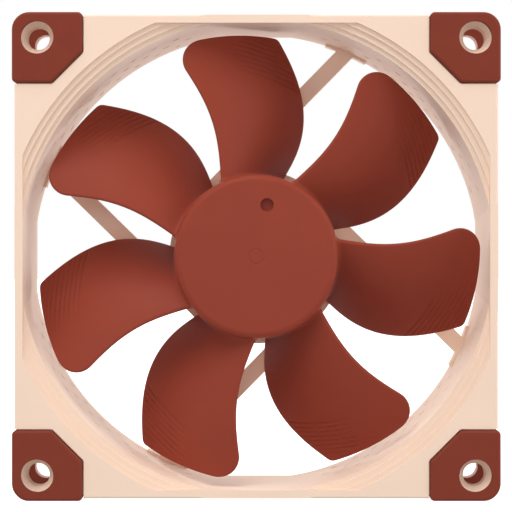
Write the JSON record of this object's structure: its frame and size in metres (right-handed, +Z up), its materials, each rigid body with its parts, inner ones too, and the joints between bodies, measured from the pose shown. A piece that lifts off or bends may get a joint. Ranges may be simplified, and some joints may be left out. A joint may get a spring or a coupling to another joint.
{
  "type": "case fan",
  "caption": "Square axial cooling fan for a computer case: moulded frame with rubber corner pads, stepped inlet and a bladed impeller on a brushless motor.",
  "frame": {"origin": "middle of the fan: on the impeller's spin axis, halfway between the pads' front and rear faces", "axes": "+X right, +Z up, +Y along the spin axis from the air inlet to the outlet; the impeller and its hub face -Y"},
  "size_m": [0.092, 0.025, 0.092],
  "materials": {
    "frame": "moulded glass-filled thermoplastic, fine satin texture, cream",
    "pad_rubber": "moulded silicone rubber, matt, reddish brown",
    "impeller": "moulded glass-filled thermoplastic, satin, reddish brown",
    "yoke_steel": "deep-drawn zinc-plated steel",
    "shaft_steel": "ground and polished steel",
    "ferrite": "sintered ferrite, dull dark grey",
    "brass": "turned brass",
    "bronze": "porous sintered bronze, oiled",
    "lamination": "stacked punched electrical steel",
    "insulator": "moulded nylon, off-white",
    "copper": "enamelled copper wire, layered winding",
    "board": "fibreglass board with green solder mask",
    "chip": "moulded black epoxy",
    "capacitor": "multilayer ceramic, tan",
    "polymer": "wear-resistant moulded polymer, dark grey",
    "foil": "blank metallised paper label, silver grey"
  },
  "bodies": {
    "housing": {"frame": "frame", "bearing_tube": "brass", "sleeve_bearing": "bronze", "oil_seal": "polymer", "thrust_plate": "polymer", "thrust_magnet": "ferrite", "bearing_end_cap": "brass", "stator_core": "lamination", "front_insulator": "insulator", "rear_insulator": "insulator", "coil_pins": "brass", "circuit_board": "board", "driver_chip": "chip", "hall_sensor": "chip", "capacitors": "capacitor", "resistors": "chip", "rear_label": "foil", "coil_1": "copper", "coil_2": "copper", "coil_3": "copper", "coil_4": "copper", "front_pad_top_right": "pad_rubber", "front_pad_top_left": "pad_rubber", "front_pad_bottom_left": "pad_rubber", "front_pad_bottom_right": "pad_rubber", "rear_pad_top_right": "pad_rubber", "rear_pad_top_left": "pad_rubber", "rear_pad_bottom_left": "pad_rubber", "rear_pad_bottom_right": "pad_rubber"},
    "rotor": {"impeller": "impeller", "yoke_cup": "yoke_steel", "ring_magnet": "ferrite", "shaft": "shaft_steel", "shaft_boss": "brass", "retaining_ring": "polymer"}
  },
  "joints": [
    {"name": "impeller_spin", "type": "hinge", "parent": "housing", "child": "rotor", "pos_m": [0, 0, 0], "axis": [0, -1, 0], "continuous": true}
  ]
}
